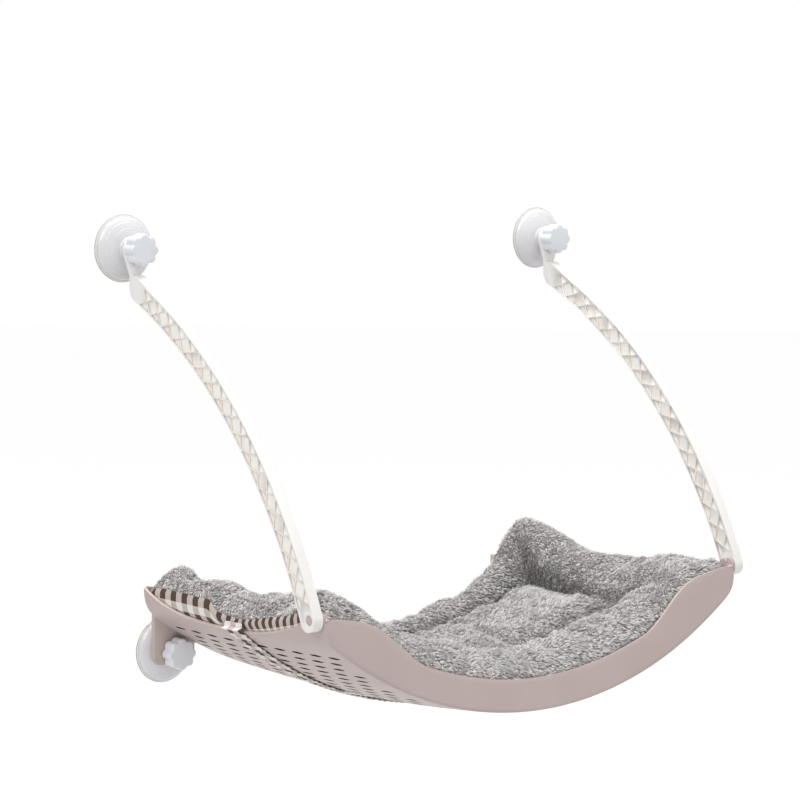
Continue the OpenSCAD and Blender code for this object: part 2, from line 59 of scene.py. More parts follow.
def placed(name, data):
    """A new object in the scene."""
    made = bpy.data.objects.new(name, data)
    scene.collection.objects.link(made)
    return made


def mesh_of(bm, name):
    """A mesh from a bmesh, which is freed."""
    made = bpy.data.meshes.new(name)
    bm.to_mesh(made)
    bm.free()
    return made


def verts_of(geometry):
    return [v for v in geometry if isinstance(v, bmesh.types.BMVert)]


# Camera at the photograph's angle, on the room side and to the left, a little above the tray.
AZIMUTH, ELEVATION, ROLL = math.radians(-38.9), math.radians(5.91), math.radians(0.57)
CAMERA_AT, FOCAL_LENGTH, SENSOR = (-1.8207, -2.3611, 0.5603), 122.7, 36
back = Vector((
    math.sin(AZIMUTH) * math.cos(ELEVATION),
    -math.cos(AZIMUTH) * math.cos(ELEVATION),
    math.sin(ELEVATION)))
level = Vector((math.cos(AZIMUTH), math.sin(AZIMUTH), 0))
upright = back.cross(level)
right = math.cos(ROLL) * level + math.sin(ROLL) * upright
up = math.cos(ROLL) * upright - math.sin(ROLL) * level
lens = bpy.data.cameras.new("camera")
lens.sensor_width = SENSOR
lens.lens = FOCAL_LENGTH
lens.clip_start, lens.clip_end = 0.1, 40
camera = placed("camera", lens)
camera.matrix_world = Matrix.Translation(CAMERA_AT) @ Matrix((right, up, back)).transposed().to_4x4()
scene.camera = camera


# Studio: a pale floor well below the perch, a white surround, and soft lamps above, in front and
# at the left. The surround and the floor are white to the camera and plain light to the object.
SURROUND = 0.55  # strength of the surround's light
FLOOR_DROP, FLOOR_R = 0.30, 9
FLOOR_GLOW, FLOOR_VEIL = 1.16, 0.75  # brightness of the white that hides the floor, and its share
LAMP_SIZE, LAMP_AIM = 1.6, Vector((0, -0.18, 0.1))


def linear(red, green, blue):
    """A colour as it is seen, 0 to 255, in the shader's linear values."""
    seen = (red, green, blue)
    return tuple(((c / 255 + 0.055) / 1.055) ** 2.4 if c > 10 else c / 3294 for c in seen) + (1.0,)


def painted(name):
    """A new material with its node tree and its main shader."""
    made = bpy.data.materials.new(name)
    made.use_nodes = True
    return made, made.node_tree, made.node_tree.nodes["Principled BSDF"]


def add_node(tree, kind, **values):
    """A new node. Each value is set on the input of that name, with spaces for underscores."""
    made = tree.nodes.new("ShaderNode" + kind)
    for name, value in values.items():
        made.inputs[name.replace("_", " ")].default_value = value
    return made


def maths(tree, kind, *values):
    """A maths node's result. Each value is a number or another node's output."""
    step = tree.nodes.new("ShaderNodeMath")
    step.operation = kind
    for k, value in enumerate(values):
        if isinstance(value, (int, float)):
            step.inputs[k].default_value = value
        else:
            tree.links.new(value, step.inputs[k])
    return step.outputs[0]


def toned(tree, shader, value, low, high, start=0.0, stop=1.0):
    """Colours the shader on a ramp between two colours, driven by a value."""
    made = tree.nodes.new("ShaderNodeValToRGB")
    ends = made.color_ramp.elements
    ends[0].position, ends[0].color = start, linear(*low)
    ends[1].position, ends[1].color = stop, linear(*high)
    tree.links.new(value, made.inputs["Fac"])
    tree.links.new(made.outputs["Color"], shader.inputs["Base Color"])
    return ends


def noise_at(tree, scale, detail=2):
    """Noise that is fixed to the object."""
    made = add_node(tree, "TexNoise", Scale=scale, Detail=detail)
    tree.links.new(tree.nodes.new("ShaderNodeTexCoord").outputs["Object"], made.inputs["Vector"])
    return made.outputs["Fac"]


def drifting_gloss(tree, shader, value, low, high):
    """Roughness between two limits, driven by a value."""
    made = add_node(tree, "MapRange", To_Min=low, To_Max=high)
    tree.links.new(value, made.inputs["Value"])
    tree.links.new(made.outputs["Result"], shader.inputs["Roughness"])


def relief_on(tree, shader, value, strength, distance):
    """Fine relief, driven by a value."""
    made = add_node(tree, "Bump", Strength=strength, Distance=distance)
    tree.links.new(value, made.inputs["Height"])
    tree.links.new(made.outputs["Normal"], shader.inputs["Normal"])


def seen_directly(tree):
    """1 for rays from the camera and for mirrored or refracted ones."""
    path = tree.nodes.new("ShaderNodeLightPath").outputs
    mirrored = maths(tree, "MAXIMUM", path["Is Camera Ray"], path["Is Glossy Ray"])
    return maths(tree, "MAXIMUM", mirrored, path["Is Transmission Ray"])


def mixed(tree, share, first, second, output):
    """Two shaders mixed by a share, sent to the tree's output."""
    mix = tree.nodes.new("ShaderNodeMixShader")
    for k, source in enumerate((share, first.outputs[0], second.outputs[0])):
        tree.links.new(source, mix.inputs[k])
    tree.links.new(mix.outputs[0], tree.nodes[output].inputs["Surface"])


world = bpy.data.worlds.new("surround")
scene.world = world
world.use_nodes = True
tree = world.node_tree
plain = tree.nodes["Background"]
plain.inputs["Color"].default_value = (1, 1, 1, 1)
plain.inputs["Strength"].default_value = SURROUND
white = add_node(tree, "Background", Color=(1, 1, 1, 1))
mixed(tree, seen_directly(tree), plain, white, "World Output")

floor_paint, tree, shader = painted("floor_paint")
shader.inputs["Base Color"].default_value = linear(226, 226, 226)
shader.inputs["Roughness"].default_value = 0.9
glow = add_node(tree, "Emission", Strength=FLOOR_GLOW)
mixed(tree, maths(tree, "MULTIPLY", seen_directly(tree), FLOOR_VEIL), shader, glow, "Material Output")

bm = bmesh.new()
bmesh.ops.create_circle(bm, cap_ends=True, segments=64, radius=FLOOR_R)
bmesh.ops.translate(bm, verts=bm.verts, vec=(0, -0.2, cad_box[0].z - FLOOR_DROP))
floor = placed("floor", mesh_of(bm, "floor"))
floor.data.materials.append(floor_paint)

for name, at, power in (
        ("key_lamp", (-2.7, -1.1, 2.4), 37),
        ("top_lamp", (0.1, -0.3, 2.3), 36),
        ("fill_lamp", (2.6, -1.8, 0.9), 4)):
    lamp = bpy.data.lights.new(name, "AREA")
    lamp.size, lamp.energy = LAMP_SIZE, power
    lamp_object = placed(name, lamp)
    lamp_object.location = at
    lamp_object.rotation_euler = (Vector(at) - LAMP_AIM).to_track_quat("Z", "Y").to_euler()


# Tray: one thin-walled injection moulding in mauve polypropylene, a hammock-shaped floor pierced with
# pointed slots, rounded side walls, front and back walls under swept rims, an ear at each front corner.
TRAY_HALF, TRAY_DEPTH, HULL_R, CORNER_R, WALL = 0.277, 0.315, 0.435, 0.025, 0.003
RIM_CORNER, RIM_FRONT, RIM_SIDE = 0.120, 0.033, 0.093
RIM_REACH, SWEEP_FROM, SWEEP_TO = 0.265, 0.55, 0.86
FRONT_LEAN = 0.2  # how far the front wall draws in for each metre of its height
BELLY, BELLY_REACH = 0.007, 0.29
CORNER_X = TRAY_HALF - CORNER_R
CORNER_Z = HULL_R - math.sqrt((HULL_R - CORNER_R) ** 2 - CORNER_X ** 2)
TURN = math.asin(CORNER_X / (HULL_R - CORNER_R))
FLOOR_RUN, CORNER_RUN = HULL_R * TURN, CORNER_R * (math.pi / 2 - TURN)
PLAN_TIP, PLAN_FOOT = 0.0036, 0.020
TRAY_AT, TRAY_TILT = (0, -0.345, -0.034), math.radians(-2.2)
in_tray = Matrix.Translation(TRAY_AT) @ Matrix.Rotation(TRAY_TILT, 4, "X")


def smooth(a, b, x):
    t = min(1.0, max(0.0, (x - a) / (b - a)))
    return t * t * (3 - 2 * t)


def front_rim(x):
    """Height of the front and back rims: a shallow bowl that sweeps up to the corners in an S."""
    w = min(1.0, abs(x) / RIM_REACH)
    g = smooth(SWEEP_FROM, SWEEP_TO, w)
    return RIM_FRONT + (RIM_CORNER - RIM_FRONT) * (w * w * (1 - g) + (1 - (1 - w) ** 1.3) * g)


def side_rim(y):
    """Height of the side rims, lowest at mid-depth and flatter behind than in front."""
    off = y / TRAY_DEPTH - 0.5
    share = min(1.0, 2 * off) ** 3 if off > 0 else min(1.0, -off / 0.455) ** 1.9
    return RIM_SIDE + (RIM_CORNER - RIM_SIDE) * share


def hull_at(run):
    """Where the tray's outline lies (x, z) and which way it faces, by its length from the lowest line."""
    side, run = math.copysign(1, run), abs(run)
    if run > FLOOR_RUN + CORNER_RUN:
        return side * TRAY_HALF, CORNER_Z + run - FLOOR_RUN - CORNER_RUN, (side, 0.0)
    if run < FLOOR_RUN:
        turn, middle, radius = run / HULL_R, (0.0, HULL_R), HULL_R
    else:
        turn, middle, radius = TURN + (run - FLOOR_RUN) / CORNER_R, (CORNER_X, CORNER_Z), CORNER_R
    return (side * (middle[0] + radius * math.sin(turn)), middle[1] - radius * math.cos(turn),
        (side * math.sin(turn), -math.cos(turn)))


def run_to(z):
    """Length of the outline from the lowest line up to a height."""
    tangent = CORNER_Z - CORNER_R * math.cos(TURN)
    if z < tangent:
        return HULL_R * math.acos(1 - z / HULL_R)
    if z < CORNER_Z:
        return FLOOR_RUN + CORNER_R * (math.acos((CORNER_Z - z) / CORNER_R) - TURN)
    return FLOOR_RUN + CORNER_RUN + z - CORNER_Z


def plan_round(x, z):
    """How far the front and back faces draw in at the tray's corners, sharp at the rim and round below."""
    radius = PLAN_TIP + (PLAN_FOOT - PLAN_TIP) * smooth(0, 0.05, RIM_CORNER - z)
    t = max(0.0, abs(x) - TRAY_HALF + radius)
    return radius - math.sqrt(max(0.0, radius ** 2 - t * t))


def front_face(x, z):
    return FRONT_LEAN * (HULL_R - math.hypot(x, z - HULL_R)) + plan_round(x, z)


def belly(x, y):
    """How far the floor sags at mid-depth, less towards the sides."""
    middle = math.sin(math.pi * min(1.0, max(0.0, y / TRAY_DEPTH)))
    return -BELLY * middle * (1 - min(1.0, abs(x) / BELLY_REACH) ** 4)


def moved_grid(bm, columns, rows, place):
    """A sheet of quads: each corner goes where place says, from its column and row."""
    made = bmesh.ops.create_grid(bm, x_segments=columns, y_segments=rows, size=0.5)["verts"]
    corners = [(v, round((v.co.x + 0.5) * columns), round((v.co.y + 0.5) * rows)) for v in made]
    for v, column, row in corners:
        v.co = place(column, row)
    return corners


def finished(bm, name, materials, body, *replaced, modifiers=(), smooth_angle=35):
    """A mesh object from a bmesh, with its modifiers applied, riding on its body."""
    made = placed(name, mesh_of(bm, name))
    for paint in materials:
        made.data.materials.append(paint)
    for kind, settings in modifiers:
        modifier = made.modifiers.new(kind.title(), kind)
        for key, value in settings.items():
            setattr(modifier, key, value)
    if modifiers:
        made.data = bpy.data.meshes.new_from_object(
            made.evaluated_get(bpy.context.evaluated_depsgraph_get()))
        made.modifiers.clear()
        made.data.name = name
    made.data.shade_smooth()
    made.data.set_sharp_from_angle(angle=math.radians(smooth_angle))
    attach(made, body)
    if replaced:
        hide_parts(*replaced)
    return made


def moulded(name, pale, deep, roughness, grain=900.0, relief=0.05, drift=14.0, coat=0.0):
    """Moulded plastic: a tone that drifts slowly over the part, and a fine grain from the mould."""
    made, tree, shader = painted(name)
    slow = noise_at(tree, drift, 4)
    fine = noise_at(tree, grain)
    toned(tree, shader, slow, deep, pale, 0.3, 0.7)
    drifting_gloss(tree, shader, fine, roughness - 0.06, roughness + 0.06)
    relief_on(tree, shader, fine, relief, 0.0004)
    shader.inputs["Coat Weight"].default_value = coat
    return made


tray_plastic = moulded("tray_plastic", (192, 176, 172), (186, 169, 165), 0.42)
# Painted highlight: the tray's cut edges along the rim are paler than its plastic.
tray_edge_painted_highlight = moulded("tray_edge_painted_highlight", (219, 199, 193), (212, 191, 184), 0.38)
slot_wall_painted_shade = moulded("slot_wall_painted_shade", (84, 70, 66), (64, 53, 49), 0.6)  # painted shade: the slot walls are dark for the shade inside the slots

# The tray's grid has its rows closer at the front and back edges, and those of the walls at their foot.
COLUMNS, ROWS, WALL_ROWS = 150, 62, 10
FOOT_FRONT, FOOT_BACK = 0.045, 0.02
edge_rows = [0.0, 0.005, 0.010, 0.017, 0.026, 0.038]
middle_rows = [0.055 + 0.89 * i / (ROWS - 12) for i in range(ROWS - 11)]
row_share = edge_rows + middle_rows + [1 - s for s in reversed(edge_rows)]
wall_share = [0.0, 0.03, 0.065, 0.11, 0.18, 0.28, 0.40, 0.54, 0.69, 0.85, 1.0]


def floor_corner(column, row):
    t = row_share[row]
    run = (2 * column / COLUMNS - 1) * run_to(side_rim(TRAY_DEPTH * t))
    x, z, _ = hull_at(run)
    y0, y1 = front_face(x, z), TRAY_DEPTH - plan_round(x, z)
    y = y0 + (y1 - y0) * t
    return Vector((x, y, z + belly(x, TRAY_DEPTH * t)))


def wall_corner(column, row, back_wall):
    """A point of the front or back wall, between the floor's edge and the rim above it."""
    share = 2 * column / COLUMNS - 1
    x0, z0, _ = hull_at(share * run_to(RIM_CORNER))
    x1 = share * TRAY_HALF
    t = wall_share[row]
    x, z = x0 + (x1 - x0) * t, z0 + (front_rim(x1) - z0) * t
    y = TRAY_DEPTH - plan_round(x, z) if back_wall else front_face(x, z)
    return Vector((x, y, z))


bm = bmesh.new()
moved_grid(bm, COLUMNS, ROWS, floor_corner)
for back_wall in (False, True):
    moved_grid(bm, COLUMNS, WALL_ROWS, lambda column, row: wall_corner(column, row, back_wall))
bmesh.ops.remove_doubles(bm, verts=bm.verts, dist=0.00002)
bmesh.ops.recalc_face_normals(bm, faces=bm.faces)
lowest = min(bm.faces, key=lambda f: f.calc_center_median().z)
if lowest.normal.z > 0:
    bmesh.ops.reverse_faces(bm, faces=bm.faces)
foot = [v for v in bm.verts if not v.is_boundary and not FOOT_FRONT <= v.co.y <= TRAY_DEPTH - FOOT_BACK]
for _ in range(7):  # rounds the fold between the floor and the walls
    bmesh.ops.smooth_vert(bm, verts=foot, factor=0.5, use_axis_x=True, use_axis_y=True, use_axis_z=True)
bmesh.ops.transform(bm, matrix=in_tray, verts=bm.verts)

# The slots are cut by one mesh of lens-shaped prisms, long front to back, each row set back from the next.
SLOT_LEN, SLOT_W, SLOT_STEP, SLOT_ARC = 0.020, 0.0046, 0.014 / HULL_R, math.radians(36)
SLOT_PITCH, SLOT_SKEW, SLOT_MARGIN = 0.029, 0.0115, 0.014
CUT_FROM, CUT_DEEP = -0.012, 0.018
PIVOT = Vector((0, -0.3285, 0.086))
lens_shape = bmesh.new()
bmesh.ops.create_circle(lens_shape, cap_ends=True, segments=16, radius=1)
for v in lens_shape.verts:
    v.co = Vector((SLOT_W / 2 * v.co.x * abs(v.co.x), SLOT_LEN / 2 * v.co.y, CUT_FROM))
thick = bmesh.ops.extrude_face_region(lens_shape, geom=lens_shape.faces[:])["geom"]
bmesh.ops.translate(lens_shape, verts=verts_of(thick), vec=(0, 0, CUT_DEEP))
bmesh.ops.recalc_face_normals(lens_shape, faces=lens_shape.faces)
lens_mesh = mesh_of(lens_shape, "slot")
cut = bmesh.new()
slot_rows = int(SLOT_ARC / SLOT_STEP)
for i in range(-slot_rows, slot_rows + 1):
    lead = SLOT_SKEW * (slot_rows - abs(i)) % SLOT_PITCH
    for j in range(1 + int((TRAY_DEPTH - 2 * SLOT_MARGIN - SLOT_LEN - lead) / SLOT_PITCH)):
        y = SLOT_MARGIN + SLOT_LEN / 2 + lead + j * SLOT_PITCH
        first = len(cut.verts)
        cut.from_mesh(lens_mesh)
        cut.verts.ensure_lookup_table()
        place = (in_tray @ Matrix.Translation((0, y, HULL_R)) @ Matrix.Rotation(-i * SLOT_STEP, 4, "Y")
            @ Matrix.Translation((0, 0, -HULL_R)))
        bmesh.ops.transform(cut, matrix=place, verts=cut.verts[first:])
# The cutter's faces carry the third paint into the slot walls: painted shade inside the slots.
for f in cut.faces:
    f.material_index = 2
cutter = placed("slots", mesh_of(cut, "slots"))
tray_paints = (tray_plastic, tray_edge_painted_highlight, slot_wall_painted_shade)
for paint in tray_paints:
    cutter.data.materials.append(paint)
# The rim faces of the solidified shell take the second paint, the painted highlight along the cut edge.
tray = finished(bm, "tray", tray_paints, "perch", "tray_shell", modifiers=(
    ("SOLIDIFY", dict(thickness=WALL, offset=-1, use_even_offset=True, material_offset_rim=1)),
    ("BEVEL", dict(width=0.0009, segments=2, limit_method="ANGLE", angle_limit=math.radians(75),
        miter_outer="MITER_ARC")),
    ("BOOLEAN", dict(operation="DIFFERENCE", solver="MANIFOLD", object=cutter))))
bpy.data.objects.remove(cutter)

# Ears: a rounded boss in each front corner of the tray, part of the same moulding, that blends into the
# side rim behind it. The arm's pin sits in it.
EAR_IN, EAR_OUT, EAR_R = 0.2738, 0.2775, 0.0075
bm = bmesh.new()
outline = [(EAR_R * math.cos(t), EAR_R * math.sin(t)) for t in [math.radians(215 - 15 * i) for i in range(11)]]
outline += [(0.0070, 0.0024), (0.0085, 0.0004), (0.0105, -0.0020), (0.0120, -0.0050), (0.0110, -0.0090),
    (-0.0020, -0.0100)]
for side in (-1, 1):
    ring = [bm.verts.new((side * EAR_IN, PIVOT.y + y, PIVOT.z + z)) for y, z in outline]
    face = bm.faces.new(ring)
    out = bmesh.ops.extrude_face_region(bm, geom=[face])["geom"]
    bmesh.ops.translate(bm, verts=verts_of(out), vec=(side * (EAR_OUT - EAR_IN), 0, 0))
bmesh.ops.recalc_face_normals(bm, faces=bm.faces)
ears = finished(bm, "tray_ears", (tray_plastic,), "perch", modifiers=(
    ("BEVEL", dict(width=0.0011, segments=3, limit_method="ANGLE", angle_limit=math.radians(50))),))


# Brackets: a plate behind each end of the tray that carries a lower cup, with a pad against the back
# wall; mouldings in the tray's plastic, each held by two screws driven from inside the tray.
def merged_copy(node):
    """The CAD solid as one closed skin with its flat faces whole."""
    copy = bmesh.new()
    copy.from_mesh(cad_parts[node].data)
    bmesh.ops.remove_doubles(copy, verts=copy.verts, dist=0.000002)
    bmesh.ops.dissolve_limit(copy, angle_limit=math.radians(0.5), verts=copy.verts, edges=copy.edges)
    return copy


def bevelled(bm, edges, width, segments):
    bmesh.ops.bevel(bm, geom=edges, offset=width, offset_type="OFFSET", affect="EDGES", segments=segments,
        profile=0.5, material=-1, clamp_overlap=True)


def rounded_edges(bm, width, segments, wanted):
    """Rounds the outward edges that pass a test."""
    sharp = [e for e in bm.edges if e.is_manifold and e.is_convex and e.calc_face_angle() > math.radians(40)]
    bevelled(bm, [e for e in sharp if wanted(e)], width, segments)


for side in ("left", "right"):
    node = side + "_cup_bracket"
    bm = merged_copy(node)
    rounded_edges(bm, 0.0009, 2, lambda e: e.calc_length() > 0.0012)
    bracket = finished(bm, side + "_bracket", (tray_plastic,), "perch", node)


# Screws, studs, washers and threaded inserts: turned steel and brass, kept as the CAD has them.
def metal(name, pale, deep, roughness):
    """Turned metal with a fine grain."""
    made, tree, shader = painted(name)
    shader.inputs["Metallic"].default_value = 1
    grain = noise_at(tree, 1400, 3)
    toned(tree, shader, grain, deep, pale)
    drifting_gloss(tree, shader, grain, roughness - 0.08, roughness + 0.08)
    return made


steel = metal("steel", (205, 206, 208), (176, 178, 182), 0.3)
brass = metal("brass", (214, 182, 110), (190, 156, 86), 0.32)


def repaint(node, paint):
    """A CAD node that stays gets its real finish."""
    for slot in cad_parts[node].material_slots:
        slot.material = paint


repaint("bracket_screws", steel)
CORNERS = [(side, level) for side in ("left", "right") for level in ("upper", "lower")]
for side, level in CORNERS:
    repaint(side + "_" + level + "_stud", steel)
    repaint(side + "_" + level + "_washer", steel)
    repaint(side + "_" + level + "_insert", brass)


# Arms: curved white mouldings with a crossed lattice sunk in both side faces. The lower end turns on a
# mauve pin in the tray's ear, and the upper end is a round eye on the cup's stud.
ARM_IN, ARM_OUT, POCKET = 0.278, 0.289, 0.0012
HEAD_CORNER, HEAD_ROUND = (-0.0203, 0.3752), 0.010
BORE_EDGE = 0.006  # the bore's rims lie within this of the pin's axis
arm_plastic = moulded("arm_plastic", (244, 242, 239), (238, 235, 232), 0.34, drift=20, coat=0.15)
# Painted light: the pocket floors are paler than the moulding, to lift the shade in the lattice's recesses.
arm_hollow_painted_light = moulded("arm_hollow_painted_light", (252, 250, 247), (247, 244, 239), 0.5, drift=60)
# Painted shade: the pocket walls are tan for the shade in the lattice's recesses.
arm_line_painted_shade = moulded("arm_line_painted_shade", (236, 220, 200), (226, 208, 186), 0.5, drift=90)


def pocket_depth(v):
    """How deep a corner lies in a pocket: 0 on a side face, 1 on a pocket's floor, else None."""
    x = abs(v.co.x)
    for face, floor_x in ((ARM_OUT, ARM_OUT - POCKET), (ARM_IN, ARM_IN + POCKET)):
        if abs(x - face) < 0.00002:
            return 0
        if abs(x - floor_x) < 0.00002:
            return 1
    return None


def in_pocket(f):
    depths = [pocket_depth(v) for v in f.verts]
    return None not in depths and 1 in depths


def at_head(e):
    return all(math.hypot(v.co.y - HEAD_CORNER[0], v.co.z - HEAD_CORNER[1]) < 0.0005 for v in e.verts)


def by_bore(e):
    middle = (e.verts[0].co + e.verts[1].co) / 2
    return math.hypot(middle.y - PIVOT.y, middle.z - PIVOT.z) < BORE_EDGE


for side in ("left", "right"):
    node = side + "_arm"
    bm = merged_copy(node)
    # The pockets' floors take the paler paint and their walls the tan one: painted light and painted shade in
    # the lattice.
    for f in bm.faces:
        if in_pocket(f):
            f.material_index = 1 if all(pocket_depth(v) for v in f.verts) else 2
    rounded_edges(bm, HEAD_ROUND, 6, at_head)
    rounded_edges(bm, 0.0013, 3, lambda e: not any(f.material_index for f in e.link_faces) and not by_bore(e))
    rounded_edges(bm, 0.0005, 2, by_bore)
    arm = finished(bm, side + "_arm_moulding", (arm_plastic, arm_hollow_painted_light, arm_line_painted_shade), side + "_arm_set", node)


# Pivot pins: short pins in the tray's plastic, rounded at the end that shows in the arm's bore.
for side in ("left", "right"):
    node = side + "_pivot_pin"
    bm = merged_copy(node)
    rounded_edges(bm, 0.0008, 3, lambda e: True)
    pin = finished(bm, side + "_pin", (tray_plastic,), "perch", node)


# Suction cups: clear soft vinyl turned out to a thin lip, flat on the pane, with the stud's head held
# in the middle of the membrane.
UPPER_X, UPPER_Z, LOWER_X = 0.2835, 0.424, 0.233
TURN_STEPS = 72
LIP_R = 0.0345  # beyond this the membrane is the lip's cut edge


def station(side, level):
    """Where a cup's axis meets the pane."""
    sign = -1 if side == "left" else 1
    return (sign * UPPER_X, UPPER_Z) if level == "upper" else (sign * LOWER_X, 0.0)


def cup_body(side, level):
    """The body that a cup and its cap ride on."""
    return side + "_arm_set" if level == "upper" else "perch"


def eased(points, rounds=2):
    """Cuts the corners of a line of points, and keeps its ends."""
    for _ in range(rounds):
        middle = [tuple(s * m + (1 - s) * n for m, n in zip(a, b))
            for a, b in zip(points, points[1:]) for s in (0.75, 0.25)]
        points = [points[0]] + middle[1:-1] + [points[-1]]
    return points


def turned(bm, profile, x, z):
    """Turns a profile, given in millimetres as radius and height off the pane, about a cup's axis."""
    ring = [bm.verts.new((x + r / 1000, -h / 1000, z)) for r, h in profile]
    edges = [bm.edges.new(pair) for pair in zip(ring, ring[1:] + ring[:1])]
    bmesh.ops.spin(bm, geom=ring + edges, cent=(x, 0, z), axis=(0, 1, 0), angle=2 * math.pi, steps=TURN_STEPS,
        use_merge=True)
    bmesh.ops.remove_doubles(bm, verts=bm.verts, dist=0.000005)
    bmesh.ops.recalc_face_normals(bm, faces=bm.faces)


def vinyl(name, pale, deep, clear):
    """Soft clear vinyl: a tone and a gloss that drift a little over the sheet."""
    made, tree, shader = painted(name)
    shader.inputs["Transmission Weight"].default_value = clear
    shader.inputs["IOR"].default_value = 1.45
    shader.inputs["Coat Weight"].default_value = 0.2
    cloud = noise_at(tree, 25)
    toned(tree, shader, cloud, deep, pale)
    drifting_gloss(tree, shader, cloud, 0.14, 0.24)
    return made


cup_vinyl = vinyl("cup_vinyl", (246, 245, 241), (241, 239, 234), 0.25)
cup_lip = vinyl("cup_lip", (204, 201, 194), (196, 193, 186), 0.15)

membrane = ([(0, 2.4), (12, 2.3), (24, 1.6), (28.5, 0.35), (30, 0), (34.3, 0)]
    + eased([(34.3, 0), (35, 0.1), (35, 1.0), (34.2, 1.3), (32, 2.2), (22, 6), (14, 8.1), (10, 9)], 2)[1:]
    + [(5.76, 9), (5.76, 6.5), (8, 6.5), (8, 4), (0, 4)])
for side, level in CORNERS:
    name = side + "_" + level
    bm = bmesh.new()
    x, z = station(side, level)
    turned(bm, membrane, x, z)
    for f in bm.faces:
        middle = f.calc_center_median()
        f.material_index = 1 if math.hypot(middle.x - x, middle.z - z) > LIP_R else 0
    cup = finished(bm, name + "_membrane", (cup_vinyl, cup_lip), cup_body(side, level), name + "_cup")


# Caps: glossy white domes that press each membrane to the pane, with two faint rings turned in them
# and a raised collar under the eye or the bracket.
cap_plastic = moulded("cap_plastic", (226, 225, 228), (220, 219, 222), 0.16, grain=300, relief=0.02, drift=30,
    coat=0.4)
dome = ([(5.8, 9.3), (10, 9.3), (22, 6.3), (32, 2.5)]
    + eased([(32, 2.5), (32.55, 2.4), (32.6, 4.2), (31.4, 6.0), (28.4, 8.0), (27.6, 8.2), (27.2, 8.75),
        (22, 10.9), (21.3, 10.95), (20.9, 11.35), (16, 12.7), (12.6, 13.3), (12.1, 13.5), (12, 15), (11, 15),
        (5.8, 15)], 2)[1:])
for side, level in CORNERS:
    name = side + "_" + level
    bm = bmesh.new()
    turned(bm, dome, *station(side, level))
    cap = finished(bm, name + "_dome", (cap_plastic,), cup_body(side, level), name + "_cap")


# Knobs: eight-lobed white hand nuts, with a rounded front edge and a brass insert behind.
knob_plastic = moulded("knob_plastic", (229, 232, 237), (222, 226, 232), 0.36, drift=40, coat=0.1)
LOBES, LOBE_AT, LOBE_R, CORE_R, KNOB_T, KNOB_ROUND = 8, 0.0114, 0.0052, 0.0143, 0.015, 0.0022
KNOB_BACK = {"upper": 0.0269, "lower": 0.0224}
BORE_R, BORE_DEEP = 0.0061, 0.010


def knob_radius(t):
    """Radius of the lobed outline at an angle."""
    off = (t + math.pi / LOBES) % (2 * math.pi / LOBES) - math.pi / LOBES
    across = LOBE_AT * math.sin(off)
    if abs(across) >= LOBE_R:
        return CORE_R
    return max(CORE_R, LOBE_AT * math.cos(off) + math.sqrt(LOBE_R ** 2 - across ** 2))


for side, level in CORNERS:
    name = side + "_" + level
    x, z = station(side, level)
    bm = bmesh.new()
    rim = bmesh.ops.create_circle(bm, cap_ends=False, segments=144, radius=1)["verts"]
    for v in rim:
        t = math.atan2(v.co.y, v.co.x)
        v.co = Vector((x + knob_radius(t) * math.cos(t), -KNOB_BACK[level], z + knob_radius(t) * math.sin(t)))
    bore = bmesh.ops.create_circle(bm, cap_ends=False, segments=48, radius=BORE_R)["verts"]
    bmesh.ops.rotate(bm, verts=bore, cent=(0, 0, 0), matrix=Matrix.Rotation(math.pi / 2, 3, "X"))
    bmesh.ops.translate(bm, verts=bore, vec=(x, -KNOB_BACK[level], z))
    bmesh.ops.bridge_loops(bm, edges=bm.edges[:])
    rims = [e for e in bm.edges if e.is_boundary]
    inner = [e for e in rims if all(v in bore for v in e.verts)]
    outer = [e for e in rims if not all(v in bore for v in e.verts)]
    for loop, rise in ((outer, KNOB_T), (inner, BORE_DEEP)):
        out = bmesh.ops.extrude_edge_only(bm, edges=loop)["geom"]
        moved = verts_of(out)
        bmesh.ops.translate(bm, verts=moved, vec=(0, -rise, 0))
        far = [e for e in out if isinstance(e, bmesh.types.BMEdge) and all(v in moved for v in e.verts)]
        bmesh.ops.contextual_create(bm, geom=far)
    bmesh.ops.recalc_face_normals(bm, faces=bm.faces)
    halfway = -KNOB_BACK[level] - KNOB_T / 2
    front = [f for f in bm.faces if len(f.verts) > 100 and f.calc_center_median().y < halfway]
    bevelled(bm, [e for f in front for e in f.edges], KNOB_ROUND, 5)
    knob = finished(bm, name + "_hand_nut", (knob_plastic,), name + "_knob_set", name + "_knob")


# Cushion: a plush pad with a thick border, a sewn channel and a middle panel, bent into the hammock.
# Grey pile covers its upper side, and the gingham underside climbs the side walls to the seam. It is
# laid out in rays from the hammock's axis, then puffed by a short cloth run.
PAD_R, PAD_SIDE, PAD_BACK, PAD_GAP = 0.431, 0.2728, 0.3085, 0.001
PAD_COLUMNS, PAD_ROWS = 132, 72
END_BORDER, FRONT_BORDER, BACK_BORDER = 0.074, 0.094, 0.044
BORDER_T, CHANNEL_T, PANEL_T = 0.047, 0.010, 0.031
FRONT_ROUND, BACK_ROUND = 0.034, 0.024
PAD_SAG = 0.006
PUFF_CAP = 0.011  # no point moves further than this in the cloth run
GROUND_TIP = 0.20  # how pale the ground under the pile is away from the sewn channel, where painted shade darkens it
CHECK = 0.0102  # side of a square of the gingham
THREAD = 0.0011
# The seam's height up each end, by distance from the front.
seam_left = ([0.014, 0.052, 0.107, 0.137, 0.150, 0.184, 0.190, 0.197, 0.245, 0.301],
    [0.131, 0.119, 0.109, 0.103, 0.101, 0.106, 0.108, 0.119, 0.120, 0.121])
seam_right = ([0.020, 0.060, 0.110, 0.200, 0.250, 0.300], [0.122, 0.117, 0.107, 0.102, 0.112, 0.124])
